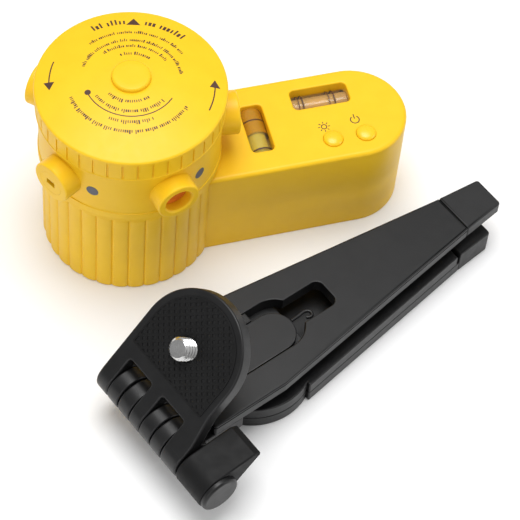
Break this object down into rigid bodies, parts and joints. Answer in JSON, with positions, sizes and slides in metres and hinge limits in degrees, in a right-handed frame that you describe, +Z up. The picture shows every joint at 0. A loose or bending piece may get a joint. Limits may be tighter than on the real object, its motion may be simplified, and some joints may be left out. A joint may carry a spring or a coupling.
{
  "type": "laser level with folding mini tripod",
  "caption": "Pocket laser level with a fluted drum, a rotating five-window turret and a vial arm, beside its folding mini tripod with a tilting camera plate.",
  "frame": {"origin": "centre of the level's tripod socket at its mouth, in the base face", "axes": "+Z up out of the turret, +X along the level's arm, the tripod lies on the -Y side"},
  "size_m": [0.1292, 0.133, 0.0653],
  "materials": {
    "yellow_plastic": "moulded ABS, satin to semi-gloss",
    "amber_lens": "polished amber plastic",
    "clear_lens": "polished",
    "vial_acrylic": "polished acrylic",
    "vial_fluid": "yellow-green spirit",
    "cradle_plastic": "moulded ABS",
    "print_ink": "pad-printed ink",
    "inner_plastic": "moulded, fine texture",
    "brass": "turned",
    "steel": "zinc-plated",
    "bright_screw": "bright nickel",
    "wire_jacket": "soft vinyl",
    "switch_plastic": "moulded",
    "board_laminate": "solder mask",
    "cell_jacket": "shrink wrap",
    "black_plastic": "moulded, fine satin texture",
    "black_rubber": "moulded rubber"
  },
  "bodies": {
    "level": {"body_shell": "yellow_plastic", "base_cover": "yellow_plastic", "cover_screws": "steel", "tripod_insert": "brass", "laser_post": "inner_plastic", "laser_barrel": "brass", "collimating_lens": "clear_lens", "laser_diode": "steel", "laser_leads": "wire_jacket", "turret_screw": "steel", "turret_washer": "steel", "detent_ball": "steel", "detent_spring": "steel", "cross_vial": "vial_acrylic", "cross_vial_fluid": "vial_fluid", "cross_vial_cradle": "cradle_plastic", "long_vial": "vial_acrylic", "long_vial_fluid": "vial_fluid", "long_vial_cradle": "cradle_plastic", "lamp_switch": "switch_plastic", "power_switch": "switch_plastic", "circuit_board": "board_laminate", "vial_lamps": "clear_lens", "left_cell": "cell_jacket", "right_cell": "cell_jacket", "contact_bridge": "steel", "contact_springs": "steel", "battery_tray": "inner_plastic"},
    "turret": {"turret_skirt": "yellow_plastic", "head_cap": "yellow_plastic", "centre_plug": "yellow_plastic", "dot_window": "amber_lens", "line_rods": "clear_lens", "upright_line_plate": "yellow_plastic", "level_line_plate": "yellow_plastic", "cross_line_plate": "yellow_plastic", "wide_line_plate": "yellow_plastic"},
    "lamp_button": {"lamp_button": "yellow_plastic"},
    "power_button": {"power_button": "yellow_plastic"},
    "battery_door": {"battery_door": "yellow_plastic"},
    "tripod": {"hinge_block": "black_plastic", "top_leg": "black_plastic", "top_leg_tip": "black_plastic", "leg_latch": "black_plastic", "latch_spring": "steel", "leg_rivet": "steel", "leg_screws": "steel"},
    "lower_leg": {"lower_leg": "black_plastic", "lower_leg_tip": "black_plastic"},
    "middle_leg": {"middle_leg": "black_plastic", "middle_leg_foot": "black_rubber"},
    "camera_plate": {"camera_plate": "black_plastic", "plate_pad": "black_rubber", "camera_screw": "bright_screw", "hinge_nut": "steel"},
    "clamp_lever": {"clamp_lever": "black_plastic", "lever_cap": "black_plastic", "hinge_bolt": "steel"}
  },
  "joints": [
    {"name": "turret_spin", "type": "hinge", "parent": "level", "child": "turret", "pos_m": [0, 0, 0.0444], "axis": [0, 0, 1], "continuous": true},
    {"name": "lamp_press", "type": "slide", "parent": "level", "child": "lamp_button", "axis": [0, 0, -1], "range_m": [0, 0.0008], "stiffness_N_per_m": 800},
    {"name": "power_press", "type": "slide", "parent": "level", "child": "power_button", "axis": [0, 0, -1], "range_m": [0, 0.0008], "stiffness_N_per_m": 800},
    {"name": "door_lift", "type": "slide", "parent": "level", "child": "battery_door", "axis": [0, 0, -1], "range_m": [0, 0.03]},
    {"name": "tripod_lift", "type": "slide", "parent": "level", "child": "tripod", "axis": [0, 0, 1], "range_m": [0, 0.08]},
    {"name": "plate_tilt", "type": "hinge", "parent": "tripod", "child": "camera_plate", "pos_m": [-0.01168, -0.07182, 0.0143], "axis": [0.3875, -0.9219, 0], "range_deg": [-36, 100]},
    {"name": "lever_turn", "type": "hinge", "parent": "tripod", "child": "clamp_lever", "pos_m": [-0.01168, -0.07182, 0.0143], "axis": [0.3875, -0.9219, 0], "range_deg": [-25, 110]},
    {"name": "lower_leg_swing", "type": "hinge", "parent": "tripod", "child": "lower_leg", "pos_m": [0.02058, -0.05826, 0.002], "axis": [0, 0, 1], "range_deg": [-120, 0]},
    {"name": "middle_leg_swing", "type": "hinge", "parent": "tripod", "child": "middle_leg", "pos_m": [0.02058, -0.05826, 0.006], "axis": [0, 0, 1], "range_deg": [-120, 9]}
  ]
}
